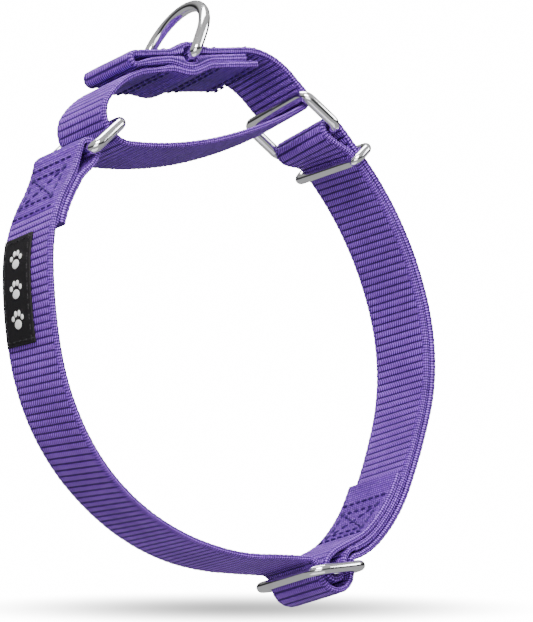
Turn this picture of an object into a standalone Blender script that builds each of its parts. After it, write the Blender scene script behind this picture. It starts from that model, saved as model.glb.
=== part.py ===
"""Martingale collar: a 25.4 mm webbing neck strap, a control loop and wire hardware.

The collar is drawn in its own plane (x to the right, z up, y through the neck opening) and then
leans back as one piece. Lengths are in millimetres while drawing and become metres in the meshes.
"""

import math

import bmesh
import bpy
from mathutils import Matrix, Vector
from mathutils.geometry import interpolate_bezier

MM = 0.001

# Webbing
WEB_WIDTH = 25.4
WEB_THICK = 2.0
PLY_GAP = 0.3
STEP = 2.6                  # spacing of the sections along a strap
FOLD_SECTIONS = 12          # sections round a fold

# Wire hardware
RING_WIRE = 3.6
RING_LONG = 29.6            # between wire centres, along the bars
RING_SHORT = 14.4           # between the two bars of a side ring
KEEPER_WIRE = 3.0
KEEPER_LONG = 29.2
KEEPER_CORNER = 2.6
SLIDER_WIRE = 3.2
SLIDER_LONG = 30.4
LEASH_WIRE = 3.6
LEASH_RING_HEIGHT = 22.0
WIRE_CORNER = 2.8           # centreline radius of a bent corner
SLIDER_CORNER = 4.6
LEASH_CORNER = 2.0          # so tight that the bar is straight across the whole webbing
WIRE_CLEARANCE = 0.3

# How the collar stands: it leans back, and its own origin is the middle of the neck opening
LEAN = math.radians(13.4)
OPENING_MIDDLE = (-17.0, 0.0, -14.0)

# Neck strap: (length, turn in degrees) of each stretch, from the left ring round to the right ring
NECK_START = (-72.0, 48.0)
NECK_HEADING = -113.0
NECK_STRETCHES = (
    (13.0, -17.0), (26.0, 31.0), (27.0, 14.0), (40.0, 36.0), (61.0, 44.0), (25.0, -1.0),
    (21.0, 43.0), (20.0, 20.0), (25.0, 7.0), (19.0, 17.0), (20.0, 16.0), (61.0, 36.0),
)
NECK_TILT = ((0, 2.0), (22, 2.0), (63, -3.0), (103, -6.0), (153, -1.0), (178, 1.0), (250, 1.0),
             (273, -1.0), (349, -1.0), (358, 6.0))
NECK_DEPTH = -2.8           # y of the strap's middle at the left ring
LEFT_BACK_PLY = 26.5        # how far the sewn-back ply reaches down from the left ring
LEFT_PLY_SPACING = 2.9      # between ply centres where the left end is sewn back
RIGHT_PLY_SPACING = 2.5     # between ply centres on the doubled right side
FOLD_RUN_OUT = 10.0         # length over which two plies part to pass round a ring bar

# Slider: the strap dips below its middle bar, and the strap's sewn end is turned round that bar
SLIDER_LEFT = (-6.4, -82.3)
SLIDER_RIGHT = (13.1, -81.4)
SLIDER_ON = 183.5           # where the strap passes the left bar, along the neck strap
SLIDER_OFF = 202.5          # where it passes the right bar
DIP = 6.4                   # strap centreline below the middle bar
END_WRAP = 3.0              # centreline radius of the sewn end round the middle bar
END_SPACING = 2.3           # between ply centres of the sewn end
END_FROM = 209.0            # where the sewn end has joined the doubled strap
END_REACH = 236.5           # where the sewn end stops

# Control loop, one length of webbing that starts under the stack at its right end
LOOP_HEADING = 181.0
LOOP_STRETCHES = (
    (44.5, 4.5), (19.4, 39.5), (19.0, 129.0), (12.8, 6.0), (26.6, 11.0), (34.0, 10.5),
    (6.2, 105.0), (5.7, 0.0), (20.7, 55.5), (44.0, 0.0), (6.1, 190.0), (13.0, -10.0),
    (31.0, 0.0),
)
LOOP_BEND = 6               # the stretch that goes round the right ring
LOOP_DIP = 1.95             # how far the lower plies give way under the leash ring's bar
LOOP_BUMP = 2.15            # how far the top ply rises over it
BUMP_REACH = 9.0

# Rings and keeper, as they hang
LEFT_RING_RISE = 34.0       # direction of the ring's short side, in degrees from +x
RIGHT_RING_RISE = 135.0
KEEPER_AT = 347.0
LEASH_BAR = (-24.0, 76.4)
LEASH_RING_LEAN = 32.0      # swung to the right of upright, in degrees

# Label and stitching
LABEL_FROM, LABEL_TO = 28.5, 61.0
LABEL_FAR, LABEL_NEAR = -11.0, 3.3
LABEL_THICK = 0.8
THREAD_RADIUS = 0.4


# ---------------------------------------------------------------- geometry helpers

def across(tilt):
    """Direction from the far edge of the webbing to its near edge."""
    return Vector((0.0, -math.cos(tilt), math.sin(tilt)))


def smooth(t):
    """Ease from 0 to 1."""
    t = min(max(t, 0.0), 1.0)
    return t * t * (3.0 - 2.0 * t)


class Chain:
    """A run of straight and circular stretches in the x-z plane."""

    def __init__(self, start, heading, stretches):
        self.knots = []
        x, z = start
        angle = math.radians(heading)
        reach = 0.0
        for length, turn in stretches:
            bend = math.radians(turn) / length
            self.knots.append((reach, length, x, z, angle, bend))
            x, z, angle = self.advance(x, z, angle, bend, length)
            reach += length
        self.length = reach

    @staticmethod
    def advance(x, z, angle, bend, run):
        """Position and heading after a run along a stretch of constant bend."""
        half = 0.5 * bend * run
        chord = run * (math.sin(half) / half if abs(half) > 1e-9 else 1.0)
        x += chord * math.cos(angle + half)
        z += chord * math.sin(angle + half)
        return x, z, angle + bend * run

    def at(self, s):
        """x, z and heading at a distance along the chain."""
        knot = self.knots[0]
        for candidate in self.knots:
            if candidate[0] <= s + 1e-9:
                knot = candidate
        reach, _, x, z, angle, bend = knot
        return self.advance(x, z, angle, bend, s - reach)


class NeckPath:
    """The neck strap's outer ply: a chain with a tilt and a depth that follow its length."""

    def __init__(self):
        self.chain = Chain(NECK_START, NECK_HEADING, NECK_STRETCHES)
        self.length = self.chain.length
        self.depths = [NECK_DEPTH]
        for i in range(int(self.length) + 2):
            heading = self.chain.at(i + 0.5)[2]
            slope = math.tan(self.tilt(i + 0.5))
            self.depths.append(self.depths[-1] + slope * math.sin(heading))

    @staticmethod
    def tilt(s):
        """Tilt of the webbing about the x axis, in radians."""
        for (s0, t0), (s1, t1) in zip(NECK_TILT, NECK_TILT[1:]):
            if s <= s1:
                return math.radians(t0 + (t1 - t0) * smooth((s - s0) / (s1 - s0)))
        return math.radians(NECK_TILT[-1][1])

    def depth(self, s):
        """y of the strap's middle."""
        i = min(max(int(s), 0), len(self.depths) - 2)
        return self.depths[i] + (self.depths[i + 1] - self.depths[i]) * (s - i)

    def section(self, s, inward=0.0):
        """Centre and across direction at s, moved towards the neck opening by inward."""
        x, z, heading = self.chain.at(s)
        tilt = self.tilt(s)
        centre = Vector((x, self.depth(s), z))
        run = Vector((math.cos(heading), math.tan(tilt) * math.sin(heading), math.sin(heading)))
        side = across(tilt)
        return centre + side.cross(run.normalized()) * inward, side


def in_plane(anchor, tilt, x, z):
    """Point at x, z in the plane through anchor that the across direction is square to."""
    return Vector((x, anchor.y + math.tan(tilt) * (z - anchor.z), z))


def bar_fold(centre, side, start, radius, turn, count=FOLD_SECTIONS):
    """Sections round a bar at centre, from the unit direction start through turn degrees."""
    third = side.cross(start)
    sections = []
    for i in range(count + 1):
        angle = math.radians(turn) * i / count
        spoke = start * math.cos(angle) + third * math.sin(angle)
        sections.append((centre + spoke * radius, side))
    return sections


def spaced(first, last, step=STEP):
    """Evenly spaced distances from first to last, both included."""
    count = max(1, round(abs(last - first) / step))
    return [first + (last - first) * i / count for i in range(count + 1)]


# ---------------------------------------------------------------- object helpers

def empty(name, parent=None, location=(0.0, 0.0, 0.0)):
    """A plain axes empty, in the parts' collection."""
    holder = bpy.data.objects.new(name, None)
    holder.empty_display_size = 10 * MM
    holder.location = Vector(location) * MM
    holder.parent = parent
    parts.objects.link(holder)
    return holder


def material(name, colour, roughness, metallic):
    """A Principled material of one colour."""
    made = bpy.data.materials.new(name)
    made.use_nodes = True
    shader = made.node_tree.nodes["Principled BSDF"]
    shader.inputs["Base Color"].default_value = (*colour, 1.0)
    shader.inputs["Roughness"].default_value = roughness
    shader.inputs["Metallic"].default_value = metallic
    return made


def add_part(name, data, finish, parent, origin=(0.0, 0.0, 0.0)):
    """Link a new object; its data is drawn about origin, in the collar's plane."""
    part = bpy.data.objects.new(name, data)
    colour, roughness, metallic = finish
    data.materials.append(material(name + "_finish", colour, roughness, metallic))
    parts.objects.link(part)
    part.parent = parent
    offset = parent.location if parent is not collar else Vector()
    part.location = Vector(origin) * MM - offset
    return part


def slab(name, sections, finish, parent, edges=None, thick=WEB_THICK):
    """A strap with square edges through the sections; edges says where it starts and stops across."""
    low_edge, high_edge = edges or (-0.5 * WEB_WIDTH, 0.5 * WEB_WIDTH)
    centres = [centre for centre, _ in sections]
    bm = bmesh.new()
    bmesh.ops.create_cube(bm, size=2.0)
    lengthwise = [e for e in bm.edges if abs(e.verts[0].co.x - e.verts[1].co.x) > 1.0]
    count = len(sections) - 1
    bmesh.ops.subdivide_edges(bm, edges=lengthwise, cuts=count - 1, use_grid_fill=True)
    for vert in bm.verts:
        i = round((vert.co.x + 1.0) / 2.0 * count)
        centre, side = sections[i]
        ahead = centres[min(i + 1, count)] - centres[max(i - 1, 0)]
        inward = side.cross(ahead).normalized()
        level = math.copysign(0.5 * thick, vert.co.z)
        reach = high_edge if vert.co.y < 0 else low_edge
        vert.co = (centre + side * reach + inward * level) * MM
    if bm.calc_volume(signed=True) < 0:
        bmesh.ops.reverse_faces(bm, faces=bm.faces)
    mesh = bpy.data.meshes.new(name)
    bm.to_mesh(mesh)
    bm.free()
    mesh.shade_smooth()
    mesh.set_sharp_from_angle(angle=math.radians(40))
    return add_part(name, mesh, finish, parent)


def wire(name, points, radius, finish, parent, origin=(0.0, 0.0, 0.0), closed=True, sides=3):
    """A round wire through the points, given about origin."""
    curve = bpy.data.curves.new(name, "CURVE")
    curve.dimensions = "3D"
    curve.bevel_depth = radius * MM
    curve.bevel_resolution = sides
    curve.use_fill_caps = True
    spline = curve.splines.new("POLY")
    spline.points.add(len(points) - 1)
    for point, place in zip(spline.points, points):
        point.co = (*(Vector(place) * MM), 1.0)
        point.radius = 1.0
    spline.use_cyclic_u = closed
    spline.use_smooth = True
    return add_part(name, curve, finish, parent, origin)


def frame_loop(long, short, radius, side, rise):
    """Points of a rectangular wire loop with rounded corners, its first bar through the origin.

    The bars run along side, and rise leads from the first bar to the second.
    """
    points = []
    half = 0.5 * long
    corners = ((half, 0.0, -90), (half, short, 0), (-half, short, 90), (-half, 0.0, 180))
    for along, up, first in corners:
        middle_along = along - math.copysign(radius, along)
        middle_up = up + (radius if up == 0.0 else -radius)
        for i in range(7):
            angle = math.radians(first + 90 * i / 6)
            points.append(side * (middle_along + radius * math.cos(angle))
                          + rise * (middle_up + radius * math.sin(angle)))
    return points


CHROME = ((0.86, 0.86, 0.87), 0.12, 1.0)
WEBBING = ((0.16, 0.065, 0.33), 0.75, 0.0)
THREAD = ((0.06, 0.02, 0.14), 0.6, 0.0)
LABEL = ((0.015, 0.013, 0.016), 0.55, 0.0)


# ---------------------------------------------------------------- layout

def neck_sections():
    """Every section of the neck strap, from its left sewn end to its end at the slider."""
    spread = 2.0 * (0.5 * RING_WIRE + WIRE_CLEARANCE + 0.5 * WEB_THICK)
    half = 0.5 * spread
    sections = []
    for s in spaced(LEFT_BACK_PLY, 0.0):
        parted = smooth((FOLD_RUN_OUT - s) / FOLD_RUN_OUT)
        sections.append(neck.section(s, LEFT_PLY_SPACING + (spread - LEFT_PLY_SPACING) * parted))
    side, inward = left_side, left_inward
    sections += bar_fold(left_bar, side, inward, half, 180)[1:]
    sections += [neck.section(s) for s in spaced(0.0, SLIDER_ON)[1:]]

    side = neck.section(SLIDER_ON)[1]
    sections += dip_sections(side)
    sections += [neck.section(s) for s in spaced(SLIDER_OFF, neck.length)[1:]]
    sections += bar_fold(right_bar, right_side, -right_inward, half, 180)[1:]
    for s in spaced(neck.length, SLIDER_OFF)[1:]:
        parted = smooth((s - neck.length + FOLD_RUN_OUT) / FOLD_RUN_OUT)
        sections.append(neck.section(s, RIGHT_PLY_SPACING + (spread - RIGHT_PLY_SPACING) * parted))
    return sections + end_sections(side)


def dip_sections(side):
    """The strap over the slider's left bar, under its middle bar and over its right bar."""
    on = neck.section(SLIDER_ON)[0] - slider_left
    off = neck.section(SLIDER_OFF)[0] - slider_right
    left_reach = slider_left.x + on.length
    right_reach = slider_right.x - off.length
    half = 0.5 * (right_reach - left_reach)
    lowest = slider_middle.z - DIP
    sections = []
    on_angle = math.degrees(math.atan2(on.z, on.x))
    sections += bar_fold(slider_left, side, on.normalized(), on.length, -on_angle, 6)[1:]
    bottom = in_plane(slider_middle, slider_tilt, 0.5 * (left_reach + right_reach), lowest + half)
    sections += bar_fold(bottom, side, -slider_run, half, 180)[1:-1]
    off_angle = math.degrees(math.atan2(off.z, off.x))
    arc = bar_fold(slider_right, side, off.normalized(), off.length, 180 - off_angle, 6)
    return sections + arc[::-1]


def end_sections(side):
    """The strap's end: down between the slider's bars, round the middle one and back up."""
    off = neck.section(SLIDER_OFF)[0] - slider_right
    off_angle = math.degrees(math.atan2(off.z, off.x))
    outer = off.length + RIGHT_PLY_SPACING
    sections = bar_fold(slider_right, side, off.normalized(), outer, 166 - off_angle, 6)[1:]
    sections += bar_fold(slider_middle, side, slider_run, END_WRAP, -180)
    joined, joined_side = neck.section(END_FROM, RIGHT_PLY_SPACING + END_SPACING)
    ahead = neck.section(END_FROM + 1.0, RIGHT_PLY_SPACING + END_SPACING)[0] - joined
    up = in_plane(slider_middle, slider_tilt, slider_middle.x, slider_middle.z + 1) - slider_middle
    leave = sections[-1][0]
    for point in interpolate_bezier(leave, leave + up * 6.5, joined - ahead * 8.0, joined, 8)[1:]:
        sections.append((point, side))
    for s in spaced(END_FROM, END_REACH)[1:]:
        sections.append(neck.section(s, RIGHT_PLY_SPACING + END_SPACING))
    return sections


def loop_stations():
    """Distances along the loop at which it has a section: close together where it bends."""
    stations = [0.0]
    for reach, length, _, _, _, bend in loop.chain.knots:
        step = min(STEP, 0.26 / max(abs(bend), 1e-6))
        stations += spaced(reach, reach + length, step)[1:]
    return stations


class LoopPath:
    """The control loop's webbing: a chain hung on the right ring's free bar, turned a little
    about x, by its left ring's tilt at one end and its right ring's at the other."""

    def __init__(self):
        drawn = Chain((0.0, 0.0), LOOP_HEADING, LOOP_STRETCHES)
        _, _, x, z, angle, bend = drawn.knots[LOOP_BEND]
        middle = (x - math.sin(angle) / bend, z + math.cos(angle) / bend)
        start = (right_free.x - middle[0], right_free.z - middle[1])
        self.chain = Chain(start, LOOP_HEADING, LOOP_STRETCHES)
        self.length = self.chain.length

    @staticmethod
    def place(x, z):
        """Point at x, z and the across direction there."""
        t = min(max((x - left_free.x) / (right_free.x - left_free.x), 0.0), 1.0)
        anchor = left_free.lerp(right_free, t)
        tilt = LEFT_TILT + (RIGHT_TILT - LEFT_TILT) * t
        return in_plane(anchor, tilt, x, z), across(tilt)

    def section(self, s, inward=0.0):
        """Centre and across direction at s; plies give way round the leash ring's bar."""
        x, z, heading = self.chain.at(s)
        over = smooth(1.0 - abs(x - LEASH_BAR[0]) / BUMP_REACH)
        top = self.chain.knots[LOOP_BEND + 2][0]
        fold = self.chain.knots[LOOP_BEND + 4][0]
        if s < self.chain.knots[1][0]:
            z -= 0.9 * LOOP_DIP * over
        elif top < s < fold:
            z += LOOP_BUMP * over
        elif s > fold:
            z -= LOOP_DIP * over
        centre, side = self.place(x, z)
        run = self.place(x + math.cos(heading), z + math.sin(heading))[0] - centre
        return centre + side.cross(run).normalized() * inward, side

    def at_x(self, x, first, last):
        """Distance along the loop, between first and last, at which it passes x."""
        return min(spaced(first, last, 0.1), key=lambda s: abs(self.chain.at(s)[0] - x))


def leash_ring_points():
    """A D: a straight bar through the origin, two legs and a half circle."""
    lean = math.radians(90.0 - LEASH_RING_LEAN)
    rise = leash_side.cross(Vector((1, 0, 0))).normalized() * math.sin(lean)
    rise += Vector((1, 0, 0)) * math.cos(lean)
    half = 0.5 * RING_LONG
    legs = LEASH_RING_HEIGHT - half
    points = []
    for first, along in ((-90, 1), (180, -1)):
        for i in range(6):
            angle = math.radians(first + 90 * i / 5)
            points.append((along * (half - LEASH_CORNER) + LEASH_CORNER * math.cos(angle),
                           LEASH_CORNER + LEASH_CORNER * math.sin(angle)))
        if along > 0:
            for i in range(17):
                angle = math.pi * i / 16
                points.append((half * math.cos(angle), legs + half * math.sin(angle)))
    return [leash_side * a + rise * b for a, b in points]


def stitch(name, place, corners, parent, closed=False, radius=THREAD_RADIUS):
    """A thread laid over a strap: place gives the point for a distance along it and across it."""
    legs = list(zip(corners, corners[1:] + corners[:1] if closed else corners[1:]))
    points = []
    for (s0, a0), (s1, a1) in legs:
        count = max(1, round(math.hypot(s1 - s0, a1 - a0) / 3.0))
        for i in range(count):
            t = i / count
            points.append(place(s0 + (s1 - s0) * t, a0 + (a1 - a0) * t))
    if not closed:
        points.append(place(*corners[-1]))
    return wire(name, points, radius, THREAD, parent, closed=closed, sides=2)


def on_neck(inward):
    """Places stitches on the neck strap, moved inward from its outer ply."""
    def place(s, a):
        centre, side = neck.section(s, inward)
        return centre + side * a
    return place


def on_loop(inward):
    """Places stitches on the control loop's webbing."""
    def place(s, a):
        centre, side = loop.section(s, inward)
        return centre + side * a
    return place


LEFT_TILT = math.radians(NECK_TILT[0][1])
RIGHT_TILT = math.radians(NECK_TILT[-1][1])

for old in list(bpy.data.objects):
    bpy.data.objects.remove(old, do_unlink=True)
parts = bpy.data.collections.new("martingale_collar")
bpy.context.scene.collection.children.link(parts)
collar = empty("collar_plane")
collar.rotation_euler.x = -LEAN
collar.location = Matrix.Rotation(-LEAN, 3, "X") @ Vector(OPENING_MIDDLE) * -MM

# Where the strap's folds put the rings
neck = NeckPath()
fold_radius = 0.5 * RING_WIRE + WIRE_CLEARANCE + 0.5 * WEB_THICK
left_edge, left_side = neck.section(0.0)
left_bar, _ = neck.section(0.0, fold_radius)
left_inward = (left_bar - left_edge).normalized()
right_edge, right_side = neck.section(neck.length)
right_bar, _ = neck.section(neck.length, fold_radius)
right_inward = (right_bar - right_edge).normalized()

left_out = math.radians(LEFT_RING_RISE)
right_out = math.radians(RIGHT_RING_RISE)
left_free = in_plane(left_bar, LEFT_TILT, left_bar.x + RING_SHORT * math.cos(left_out),
                     left_bar.z + RING_SHORT * math.sin(left_out))
right_free = in_plane(right_bar, RIGHT_TILT, right_bar.x + RING_SHORT * math.cos(right_out),
                      right_bar.z + RING_SHORT * math.sin(right_out))

# The slider
slider_tilt = neck.tilt(SLIDER_ON)
anchor = neck.section(SLIDER_ON)[0]
slider_left = in_plane(anchor, slider_tilt, *SLIDER_LEFT)
slider_right = in_plane(anchor, slider_tilt, *SLIDER_RIGHT)
slider_middle = (slider_left + slider_right) * 0.5
slider_side = across(slider_tilt)
slider_run = Vector((1, 0, 0))
slider_pitch = slider_right - slider_left

slab("neck_strap", neck_sections(), WEBBING, collar)
wire("slider_frame", frame_loop(SLIDER_LONG, slider_pitch.length, SLIDER_CORNER, slider_side,
                                slider_pitch.normalized()),
     0.5 * SLIDER_WIRE, CHROME, collar, slider_left)
bar_half = 0.5 * SLIDER_LONG - 0.5 * SLIDER_WIRE - WIRE_CLEARANCE
wire("slider_bar", [slider_side * -bar_half, slider_side * bar_half], 0.5 * SLIDER_WIRE, CHROME,
     collar, slider_middle, closed=False)

# Side rings, each with its origin on the bar that turns in the neck strap's fold
wire("left_ring", frame_loop(RING_LONG, RING_SHORT, WIRE_CORNER, left_side,
                             (left_free - left_bar).normalized()),
     0.5 * RING_WIRE, CHROME, collar, left_bar)
wire("right_ring", frame_loop(RING_LONG, RING_SHORT, WIRE_CORNER, right_side,
                              (right_free - right_bar).normalized()),
     0.5 * RING_WIRE, CHROME, collar, right_bar)

# Keeper: its pivot is the centre of the arc that the doubled strap follows there
keeper_side = neck.section(KEEPER_AT)[1]
length, turn = NECK_STRETCHES[-1]
arc_radius = length / math.radians(turn)
keeper_pivot = empty("keeper_pivot", collar, neck.section(KEEPER_AT, arc_radius)[0])
keeper_reach = 0.5 * WEB_THICK + WIRE_CLEARANCE + 0.5 * KEEPER_WIRE
front, _ = neck.section(KEEPER_AT, -keeper_reach)
rear, _ = neck.section(KEEPER_AT, RIGHT_PLY_SPACING + keeper_reach)
wire("keeper_loop", frame_loop(KEEPER_LONG, (rear - front).length, KEEPER_CORNER, keeper_side,
                               (rear - front).normalized()),
     0.5 * KEEPER_WIRE, CHROME, keeper_pivot, front)

# Control loop and leash ring
loop = LoopPath()
slab("control_loop", [loop.section(s) for s in loop_stations()], WEBBING, collar)
leash_bar, leash_side = loop.place(*LEASH_BAR)
wire("leash_ring", leash_ring_points(), 0.5 * LEASH_WIRE, CHROME, collar, leash_bar)

# Label and stitching
label_level = -(0.5 * WEB_THICK + PLY_GAP + 0.5 * LABEL_THICK)
label_sections = [neck.section(s, label_level) for s in spaced(LABEL_FROM, LABEL_TO)]
slab("label_patch", label_sections, LABEL, collar, (LABEL_FAR, LABEL_NEAR), LABEL_THICK)
above_label = label_level - 0.5 * LABEL_THICK - PLY_GAP - 0.3
stitch("label_thread", on_neck(above_label),
       [(LABEL_FROM + 1.3, LABEL_FAR + 1.3), (LABEL_TO - 1.3, LABEL_FAR + 1.3),
        (LABEL_TO - 1.3, LABEL_NEAR - 1.3), (LABEL_FROM + 1.3, LABEL_NEAR - 1.3)],
       collar, closed=True, radius=0.3)

above_web = 0.5 * WEB_THICK + PLY_GAP + THREAD_RADIUS
stitch("left_box_thread", on_neck(-above_web), [(4, -10.5), (4, 9), (17, -10.5), (17, 9)], collar)
sewn_face = RIGHT_PLY_SPACING + END_SPACING + above_web
stitch("tab_box_thread", on_neck(sewn_face), [(212, -9), (212, 9), (226, -9), (226, 9)], collar)
top_first = loop.chain.knots[LOOP_BEND + 3][0]
top_last = loop.chain.knots[LOOP_BEND + 4][0]
for name, x in (("loop_thread_left", -35.0), ("loop_thread_middle", -14.5),
                ("loop_thread_right", 1.5)):
    s = loop.at_x(x, top_first - 5.0, top_last)
    corners = [(s - 1.5, -10.5), (s + 1.5, -3.5), (s - 1.5, 3.5), (s + 1.5, 10.5)]
    stitch(name, on_loop(-above_web), corners, collar)
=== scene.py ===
"""Looks of a webbing martingale collar: ribbed webbing, bent chrome wire, stitching and a label.

Lengths are in millimetres while the collar is drawn in its own plane (x to the right, z up, y
through the neck opening), and in metres in the finished meshes. Turns are in radians unless a
field's name says otherwise.
"""

from __future__ import annotations

import logging
import math
from dataclasses import dataclass
from enum import Enum
from typing import Callable, Iterable, Sequence

import bmesh
import bpy
from mathutils import Matrix, Vector
from mathutils.geometry import interpolate_bezier

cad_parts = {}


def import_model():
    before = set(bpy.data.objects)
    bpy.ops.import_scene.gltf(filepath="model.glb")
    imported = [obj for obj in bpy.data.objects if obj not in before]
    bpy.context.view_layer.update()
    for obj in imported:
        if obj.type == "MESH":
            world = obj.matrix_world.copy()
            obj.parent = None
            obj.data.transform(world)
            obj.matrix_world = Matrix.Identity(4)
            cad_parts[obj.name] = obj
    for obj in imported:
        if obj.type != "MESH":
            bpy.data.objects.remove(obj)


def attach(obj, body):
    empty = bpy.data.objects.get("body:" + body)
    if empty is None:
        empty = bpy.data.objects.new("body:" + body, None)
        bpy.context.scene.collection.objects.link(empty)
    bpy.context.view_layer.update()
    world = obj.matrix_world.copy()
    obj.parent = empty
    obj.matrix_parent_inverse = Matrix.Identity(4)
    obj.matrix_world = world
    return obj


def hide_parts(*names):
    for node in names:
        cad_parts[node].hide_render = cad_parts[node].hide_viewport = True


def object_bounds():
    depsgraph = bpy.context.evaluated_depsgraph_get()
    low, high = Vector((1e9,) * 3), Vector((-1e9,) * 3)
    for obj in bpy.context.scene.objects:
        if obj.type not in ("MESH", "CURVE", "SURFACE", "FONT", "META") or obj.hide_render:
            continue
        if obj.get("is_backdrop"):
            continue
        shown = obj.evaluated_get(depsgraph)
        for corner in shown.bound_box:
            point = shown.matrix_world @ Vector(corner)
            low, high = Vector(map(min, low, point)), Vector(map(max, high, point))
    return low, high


LOG = logging.getLogger("martingale_collar")
MM = 0.001
LEAN = math.radians(13.4)
OPENING_MIDDLE = Vector((-17.0, 0.0, -14.0))
LEAN_BACK = Matrix.Rotation(-LEAN, 3, "X")
DRAWING_ORIGIN = LEAN_BACK @ OPENING_MIDDLE * -MM

Section = tuple[Vector, Vector]
Look = tuple[float, float, float]  # how sharp the ribs are; padding outward; padding inward
Colour = tuple[float, float, float]
Seam = list[tuple[float, float]]  # a seam's corners, as distances along and across
Placer = Callable[[float, float, float], Vector]


class Body(Enum):
    """The moving bodies of the collar."""

    NECK = "neck"
    LOOP = "loop"
    LEFT_RING = "left_side_ring"
    RIGHT_RING = "right_side_ring"
    KEEPER = "keeper"
    LEASH = "leash"


class Slot(Enum):
    """The finishes that the collar's record names."""

    WEBBING = "webbing"
    WIRE = "wire"
    LABEL = "label"
    THREAD = "thread"


# ------------------------------------------------------------------------------- node trees

class Value:
    """A number in a node tree. Expressions on it add Math nodes."""

    def __init__(self, tree: bpy.types.NodeTree, socket: bpy.types.NodeSocket) -> None:
        """Wraps a socket of a tree."""
        self.tree = tree
        self.socket = socket

    def maths(self, operation: str, *terms: Value | float) -> Value:
        """Adds a Math node.

        Args:
            operation: the node's operation.
            terms: its inputs, in order; self alone if there are none.

        Returns:
            The node's result.
        """
        node = self.tree.nodes.new("ShaderNodeMath")
        node.operation = operation
        for socket, term in zip(node.inputs, terms or (self,)):
            if isinstance(term, Value):
                self.tree.links.new(term.socket, socket)
            else:
                socket.default_value = term
        return Value(self.tree, node.outputs[0])

    def __add__(self, other: Value | float) -> Value:
        """self + other."""
        return self.maths("ADD", self, other)

    __radd__ = __add__

    def __sub__(self, other: Value | float) -> Value:
        """self - other."""
        return self.maths("SUBTRACT", self, other)

    def __rsub__(self, other: Value | float) -> Value:
        """other - self."""
        return self.maths("SUBTRACT", other, self)

    def __mul__(self, other: Value | float) -> Value:
        """self * other."""
        return self.maths("MULTIPLY", self, other)

    __rmul__ = __mul__

    def __truediv__(self, other: Value | float) -> Value:
        """self / other."""
        return self.maths("DIVIDE", self, other)

    def __pow__(self, other: Value | float) -> Value:
        """self to the power other."""
        return self.maths("POWER", self, other)

    def sine(self) -> Value:
        """Sine of self in radians."""
        return self.maths("SINE")

    def size(self) -> Value:
        """Absolute value."""
        return self.maths("ABSOLUTE")

    def ease(self, low: float, high: float) -> Value:
        """Eases self from 0 to 1.

        Args:
            low: where the step starts.
            high: where it ends.

        Returns:
            0 up to low, 1 from high on, and a smooth step between them.
        """
        node = self.tree.nodes.new("ShaderNodeMapRange")
        node.interpolation_type = "SMOOTHSTEP"
        node.inputs["From Min"].default_value = low
        node.inputs["From Max"].default_value = high
        self.tree.links.new(self.socket, node.inputs["Value"])
        return Value(self.tree, node.outputs["Result"])


class Tree:
    """Adds nodes to a shader's or a modifier's tree."""

    def __init__(self, tree: bpy.types.NodeTree) -> None:
        """Starts on a tree."""
        self.tree = tree

    def add(self, kind: str, settings: dict[str, object] | None = None,
            inputs: dict[object, object] | None = None) -> bpy.types.Node:
        """Adds a node.

        Args:
            kind: the node's type.
            settings: its properties, which are set first.
            inputs: a value or a link for each input that isn't left as it is.

        Returns:
            The node.
        """
        node = self.tree.nodes.new(kind)
        for name, value in (settings or {}).items():
            setattr(node, name, value)
        for key, value in (inputs or {}).items():
            self.put(node.inputs[key], value)
        return node

    def put(self, socket: bpy.types.NodeSocket, value: object) -> None:
        """Sets an input, or links to it.

        Args:
            socket: the input.
            value: a number, a colour, a Value or another socket.
        """
        if isinstance(value, Value):
            value = value.socket
        if isinstance(value, bpy.types.NodeSocket):
            self.tree.links.new(value, socket)
        else:
            socket.default_value = value

    def feed(self, shader: bpy.types.Node, **inputs: object) -> None:
        """Puts values to a shader's inputs; a name's underscores stand for spaces."""
        for name, value in inputs.items():
            self.put(shader.inputs[name.replace("_", " ")], value)

    def value(self, node: bpy.types.Node, output: object = 0) -> Value:
        """A node's output as a Value."""
        return Value(self.tree, node.outputs[output])

    def place(self) -> bpy.types.NodeSocket:
        """The Object coordinates."""
        return self.add("ShaderNodeTexCoord").outputs["Object"]

    def marks(self, *names: str) -> list[Value]:
        """The strip's own attributes of those names."""
        return [self.value(self.add("ShaderNodeAttribute", {"attribute_name": name}), "Fac")
                for name in names]

    def noise(self, place: bpy.types.NodeSocket, scale: float, detail: float = 2.0,
              roughness: float = 0.5) -> Value:
        """Noise over a place, with scale in features per metre."""
        return self.value(self.add("ShaderNodeTexNoise", {}, {
            "Vector": place, "Scale": scale, "Detail": detail, "Roughness": roughness}), "Fac")

    def bump(self, strength: float, distance: float, height: Value) -> bpy.types.NodeSocket:
        """A bumped normal, with distance in metres."""
        return self.add("ShaderNodeBump", {}, {
            "Strength": strength, "Distance": distance, "Height": height}).outputs["Normal"]

    def mix(self, amount: Value | float, first: object, second: object) -> bpy.types.NodeSocket:
        """Mixes two colours.

        Args:
            amount: how much of the second.
            first: a colour or a link.
            second: a colour or a link.

        Returns:
            The mixed colour's socket.
        """
        pair = [(*c, 1.0) if isinstance(c, tuple) else c for c in (first, second)]
        return self.add("ShaderNodeMix", {"data_type": "RGBA"},
                        {0: amount, 6: pair[0], 7: pair[1]}).outputs[2]


# ------------------------------------------------------------------------------- finishes

class Finish:
    """A material with its own node tree."""

    name = "finish"

    def make(self) -> bpy.types.Material:
        """Builds the material once.

        Returns:
            The material.
        """
        found = bpy.data.materials.get(self.name)
        if found:
            return found
        made = bpy.data.materials.new(self.name)
        made.use_nodes = True
        tree = Tree(made.node_tree)
        self.paint(tree, made.node_tree.nodes["Principled BSDF"])
        return made

    def paint(self, tree: Tree, shader: bpy.types.Node) -> None:
        """Adds the finish's nodes and settings.

        Args:
            tree: the material's tree.
            shader: its main shader.
        """
        raise NotImplementedError


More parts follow.
